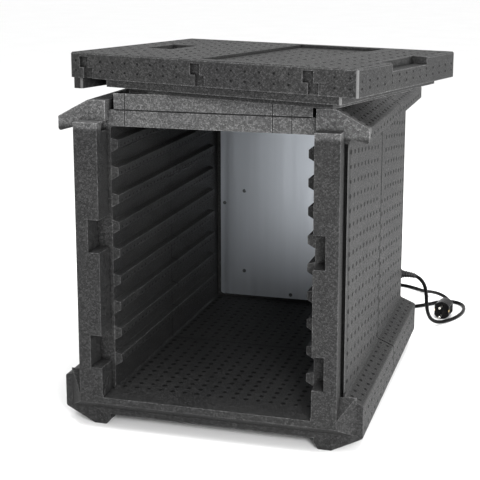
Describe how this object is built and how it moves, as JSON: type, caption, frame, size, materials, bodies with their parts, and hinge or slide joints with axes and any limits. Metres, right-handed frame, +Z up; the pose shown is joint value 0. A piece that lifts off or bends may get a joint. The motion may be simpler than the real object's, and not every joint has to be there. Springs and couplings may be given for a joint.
{
  "type": "insulated food carrier",
  "caption": "Black foam front-loading food carrier with shelf runners, a heated steel back plate, a mains lead and a lift-off door lying on top.",
  "frame": {"origin": "bottom centre of the box around the carrier and its door, on the floor, without the mains lead and plug", "axes": "+Z up, -Y towards the open front, +Y towards the heater at the rear, +X to the right seen from the front"},
  "size_m": [0.595, 1.0607, 0.6093],
  "materials": {
    "epp": "moulded expanded polypropylene foam, fine closed beads, matte",
    "stainless": "satin rolled stainless sheet",
    "screw_steel": "bright stainless fasteners",
    "aluminium": "mill-finish aluminium sheet",
    "silicone": "silicone heating mat",
    "wool": "needled mineral fibre felt",
    "anchor_nylon": "nylon wall plug",
    "switch_ceramic": "phenolic and plated steel",
    "box_plastic": "fine-textured injection moulded polyamide",
    "terminal_plastic": "moulded polyamide",
    "lead_insulation": "silicone insulated wire",
    "gland_plastic": "moulded polyamide",
    "cord_rubber": "smooth rubber cable jacket",
    "plug_rubber": "moulded rubber plug",
    "plated_brass": "nickel plated brass",
    "tie_fabric": "hook and loop strap"
  },
  "bodies": {
    "carrier": {"front_shell": "epp", "rear_shell": "epp", "runners_left": "epp", "runners_right": "epp", "heated_back_plate": "stainless", "back_plate_screws": "screw_steel", "heater_bolts": "screw_steel", "plate_screw_anchors": "anchor_nylon", "heating_mat": "silicone", "heater_clamp_plate": "aluminium", "heater_nuts": "screw_steel", "insulation_pad": "wool", "thermostat": "switch_ceramic", "thermal_cutout": "switch_ceramic", "connection_box": "box_plastic", "connection_box_lid": "box_plastic", "connection_box_screws": "screw_steel", "terminal_block": "terminal_plastic", "internal_leads": "lead_insulation", "gland_body": "gland_plastic", "gland_locknut": "gland_plastic", "gland_cap": "gland_plastic", "mains_lead": "cord_rubber", "mains_lead_tail": "cord_rubber", "mains_lead_coil": "cord_rubber", "cord_tie": "tie_fabric", "plug_body": "plug_rubber", "plug_pins": "plated_brass", "plug_earth_clips": "plated_brass", "plug_boot": "plug_rubber"},
    "door": {"door_slab": "epp", "door_plug": "epp"}
  },
  "joints": [
    {"name": "door_lift", "type": "slide", "parent": "carrier", "child": "door", "axis": [0, 0, 1], "range_m": [0, 0.25]}
  ]
}
